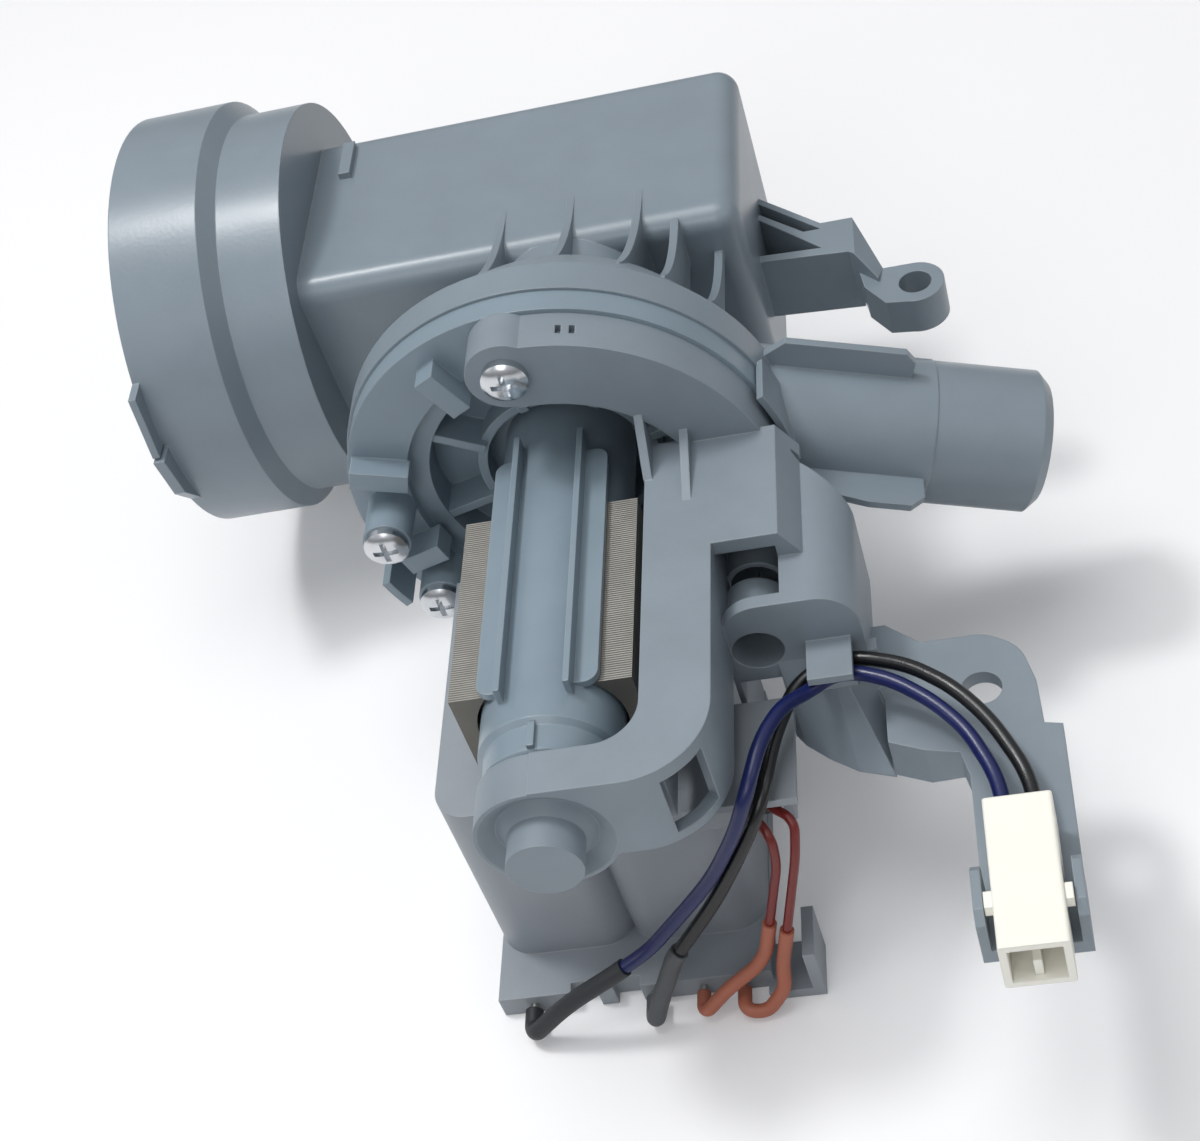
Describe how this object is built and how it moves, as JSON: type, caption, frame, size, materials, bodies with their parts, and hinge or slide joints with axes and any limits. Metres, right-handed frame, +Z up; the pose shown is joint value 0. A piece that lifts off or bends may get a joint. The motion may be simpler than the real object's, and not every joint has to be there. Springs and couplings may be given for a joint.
{
  "type": "washer drain pump",
  "caption": "Drain pump with a round inlet collar and filter chamber, a volute with a sloping outlet, a wet-rotor motor with coils below it, a support arm, and leads to a small connector.",
  "frame": {"origin": "centre of the inlet collar's mouth", "axes": "+X runs from the mouth into the filter chamber, the motor axis lies along Y with the motor towards -Y, +Z up with the coils below the rotor"},
  "size_m": [0.1806, 0.2307, 0.105],
  "materials": {
    "housing_plastic": "satin moulded grain",
    "tube_plastic": "satin moulded, slightly bluer",
    "arm_plastic": "fine grain",
    "cover_plastic": "fine grain",
    "black_rubber": "matt",
    "lamination_steel": "stacked sheet edges",
    "rivet_steel": "drawn",
    "zinc_steel": "bright zinc plate",
    "shaft_steel": "ground",
    "magnet_ferrite": "dark sintered ferrite",
    "wheel_plastic": "plain moulded",
    "bush_bronze": "sintered",
    "bobbin_plastic": "plain moulded",
    "winding_copper": "enamelled wire",
    "cutout_plastic": "black phenolic",
    "terminal_tin": "tinned brass",
    "connector_plastic": "ivory, smooth",
    "blue_insulation": "smooth extruded",
    "black_insulation": "smooth extruded",
    "red_insulation": "smooth extruded",
    "dark_sleeve": "matt",
    "grey_sleeve": "matt",
    "salmon_sleeve": "matt silicone"
  },
  "bodies": {
    "frame": {"pump_housing": "housing_plastic", "motor_plate": "tube_plastic", "support_arm": "arm_plastic", "coil_cover": "cover_plastic", "housing_seal": "black_rubber", "bush_cushion": "black_rubber", "front_bush": "bush_bronze", "rear_bush": "bush_bronze", "bush_carrier": "wheel_plastic", "stator_core": "lamination_steel", "core_rivets": "rivet_steel", "coil_bobbin_left": "bobbin_plastic", "coil_bobbin_right": "bobbin_plastic", "coil_left": "winding_copper", "coil_right": "winding_copper", "thermal_cutout": "cutout_plastic", "coil_terminals": "terminal_tin", "pan_head_screws": "zinc_steel", "connector_housing": "connector_plastic", "connector_contacts": "terminal_tin", "blue_lead": "blue_insulation", "black_lead": "black_insulation", "blue_lead_sleeve": "dark_sleeve", "black_lead_sleeve": "grey_sleeve", "red_lead_front": "red_insulation", "red_lead_rear": "red_insulation", "red_sleeve_front": "salmon_sleeve", "red_sleeve_rear": "salmon_sleeve"},
    "rotor": {"rotor_shaft": "shaft_steel", "rotor_magnet": "magnet_ferrite", "drive_dog": "wheel_plastic"},
    "impeller_wheel": {"impeller": "wheel_plastic"}
  },
  "joints": [
    {"name": "rotor_spin", "type": "hinge", "parent": "frame", "child": "rotor", "pos_m": [0.0902, -0.0751, 0.0052], "axis": [0, 1, 0], "continuous": true},
    {"name": "impeller_lag", "type": "hinge", "parent": "rotor", "child": "impeller_wheel", "pos_m": [0.0902, -0.0751, 0.0052], "axis": [0, 1, 0], "range_deg": [-117, 117]}
  ]
}
